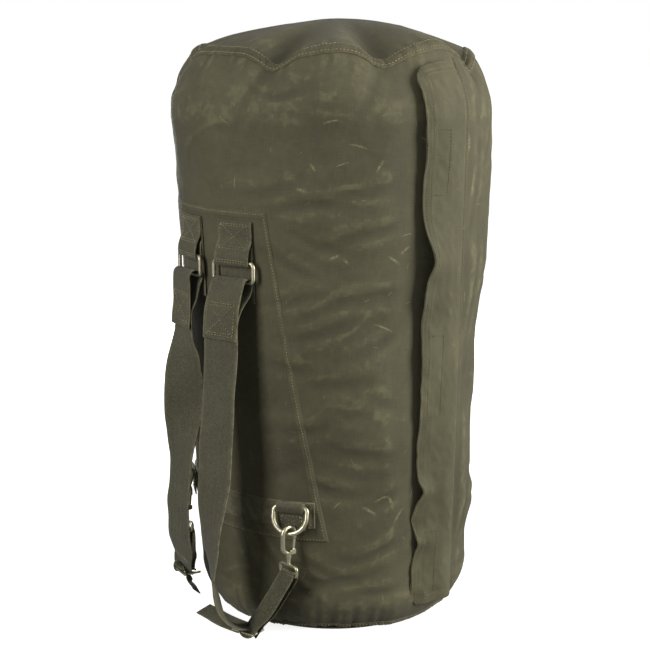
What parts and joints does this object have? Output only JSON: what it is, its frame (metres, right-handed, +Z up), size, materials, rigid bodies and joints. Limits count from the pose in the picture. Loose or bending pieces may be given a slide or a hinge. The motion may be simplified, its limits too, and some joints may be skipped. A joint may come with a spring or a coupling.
{
  "type": "duffel bag",
  "caption": "Upright cylindrical canvas duffel bag with a domed crown, side zipper under a storm flap, and two clip-on shoulder straps on rings and snap hooks.",
  "frame": {"origin": "centre of the flat base, on the floor", "axes": "+Z up along the bag's axis to the crown, -Y out of the strap side, +X out of the zipper and storm flap side"},
  "size_m": [0.4196, 0.4575, 0.755],
  "materials": {
    "canvas": "waxed cotton canvas, worn",
    "seam_canvas": "felled double-stitched canvas seams",
    "wide_webbing": "woven cotton webbing, matt",
    "narrow_webbing": "ribbed narrow webbing",
    "zipper_tape": "woven zipper tape",
    "hook_and_loop": "hook-and-loop tape",
    "zipper_metal": "aged brass zipper",
    "nickel_wire": "nickel-plated steel wire, worn",
    "cast_hardware": "nickel-plated castings, worn"
  },
  "bodies": {
    "bag": {"body_wall": "canvas", "crown_panel": "canvas", "base_panel": "canvas", "crown_seam_band": "seam_canvas", "base_seam_band": "seam_canvas", "back_panel": "canvas", "d_ring_band": "wide_webbing", "flap_seam_binding": "seam_canvas", "wall_loop_strips": "hook_and_loop", "zipper_tape_left": "zipper_tape", "zipper_tape_right": "zipper_tape", "zipper_teeth_left": "zipper_metal", "zipper_teeth_right": "zipper_metal", "zipper_bottom_stop": "zipper_metal", "zipper_top_stop": "zipper_metal", "right_upper_tab": "wide_webbing", "left_upper_tab": "wide_webbing", "right_d_ring_tab": "wide_webbing", "left_d_ring_tab": "wide_webbing"},
    "flap": {"storm_flap": "canvas", "flap_hook_strips": "hook_and_loop"},
    "slider": {"zipper_slider": "zipper_metal"},
    "pull": {"zipper_pull": "zipper_metal"},
    "right_ring": {"right_ring": "nickel_wire"},
    "right_strap_end": {"right_strap_end_loop": "wide_webbing"},
    "right_strap": {"right_strap_webbing": "wide_webbing", "right_strap_tip": "wide_webbing", "right_buckle_frame": "cast_hardware", "right_buckle_bar": "nickel_wire", "right_adjuster_webbing": "narrow_webbing", "right_webbing_tail": "narrow_webbing", "right_swivel_eye": "nickel_wire"},
    "right_hook": {"right_hook_body": "cast_hardware", "right_gate_pin": "nickel_wire"},
    "right_gate": {"right_hook_gate": "nickel_wire"},
    "right_d_ring": {"right_d_ring": "nickel_wire"},
    "left_ring": {"left_ring": "nickel_wire"},
    "left_strap_end": {"left_strap_end_loop": "wide_webbing"},
    "left_strap": {"left_strap_webbing": "wide_webbing", "left_strap_tip": "wide_webbing", "left_buckle_frame": "cast_hardware", "left_buckle_bar": "nickel_wire", "left_adjuster_webbing": "narrow_webbing", "left_webbing_tail": "narrow_webbing", "left_swivel_eye": "nickel_wire"},
    "left_hook": {"left_hook_body": "cast_hardware", "left_gate_pin": "nickel_wire"},
    "left_gate": {"left_hook_gate": "nickel_wire"},
    "left_d_ring": {"left_d_ring": "nickel_wire"}
  },
  "joints": [
    {"name": "flap_lift", "type": "hinge", "parent": "bag", "child": "flap", "pos_m": [0.1756, 0.04423, 0.06052], "axis": [0.0496, -0.0326, 0.9982], "range_deg": [0, 130]},
    {"name": "slider_travel", "type": "slide", "parent": "bag", "child": "slider", "axis": [0.0496, -0.0326, 0.9982], "range_m": [-0.54, 0]},
    {"name": "pull_swing", "type": "hinge", "parent": "slider", "child": "pull", "pos_m": [0.20355, 0.00769, 0.62544], "axis": [0.0914, -0.9951, -0.037], "range_deg": [0, 16]},
    {"name": "right_ring_swing", "type": "hinge", "parent": "bag", "child": "right_ring", "pos_m": [0.04296, -0.19868, 0.474], "axis": [-0.9774, -0.2113, 0], "range_deg": [0, 10]},
    {"name": "right_strap_hang", "type": "hinge", "parent": "right_ring", "child": "right_strap_end", "pos_m": [0.04296, -0.19868, 0.451], "axis": [-0.9774, -0.2113, 0], "range_deg": [-10.5, 0.5]},
    {"name": "right_strap_swing", "type": "hinge", "parent": "right_strap_end", "child": "right_strap", "pos_m": [0.04296, -0.19868, 0.451], "axis": [-0.1997, -0.0948, 0.9753], "range_deg": [-5, 9]},
    {"name": "right_hook_swivel", "type": "hinge", "parent": "right_strap", "child": "right_hook", "pos_m": [0.10557, -0.16895, 0.14444], "axis": [0, 0, 1], "range_deg": [-5, 14]},
    {"name": "right_gate_open", "type": "hinge", "parent": "right_hook", "child": "right_gate", "pos_m": [0.10557, -0.16195, 0.12144], "axis": [1, 0, 0], "range_deg": [0, 24], "stiffness_Nm_per_rad": 0.02, "springref_deg": -17.19},
    {"name": "right_d_ring_swing", "type": "hinge", "parent": "bag", "child": "right_d_ring", "pos_m": [0.1009, -0.16147, 0.176], "axis": [-0.848, -0.5299, 0], "range_deg": [-0.5, 8.1]},
    {"name": "left_ring_swing", "type": "hinge", "parent": "bag", "child": "left_ring", "pos_m": [-0.04296, -0.19868, 0.474], "axis": [-0.9774, 0.2113, 0], "range_deg": [0, 10]},
    {"name": "left_strap_hang", "type": "hinge", "parent": "left_ring", "child": "left_strap_end", "pos_m": [-0.04296, -0.19868, 0.451], "axis": [-0.9774, 0.2113, 0], "range_deg": [-10.5, 0.5]},
    {"name": "left_strap_swing", "type": "hinge", "parent": "left_strap_end", "child": "left_strap", "pos_m": [-0.04296, -0.19868, 0.451], "axis": [0.1997, -0.0948, 0.9753], "range_deg": [-9, 5]},
    {"name": "left_hook_swivel", "type": "hinge", "parent": "left_strap", "child": "left_hook", "pos_m": [-0.10557, -0.16895, 0.14444], "axis": [0, 0, 1], "range_deg": [-14, 5]},
    {"name": "left_gate_open", "type": "hinge", "parent": "left_hook", "child": "left_gate", "pos_m": [-0.10557, -0.16195, 0.12144], "axis": [1, 0, 0], "range_deg": [0, 24], "stiffness_Nm_per_rad": 0.02, "springref_deg": -17.19},
    {"name": "left_d_ring_swing", "type": "hinge", "parent": "bag", "child": "left_d_ring", "pos_m": [-0.1009, -0.16147, 0.176], "axis": [-0.848, 0.5299, 0], "range_deg": [-0.5, 8.1]}
  ],
  "couplings": [
    {"joint": "right_strap_hang", "follows": "right_ring_swing", "ratio": -1},
    {"joint": "right_d_ring_swing", "follows": "right_ring_swing", "ratio": 0.76},
    {"joint": "left_strap_hang", "follows": "left_ring_swing", "ratio": -1},
    {"joint": "left_d_ring_swing", "follows": "left_ring_swing", "ratio": 0.76}
  ]
}
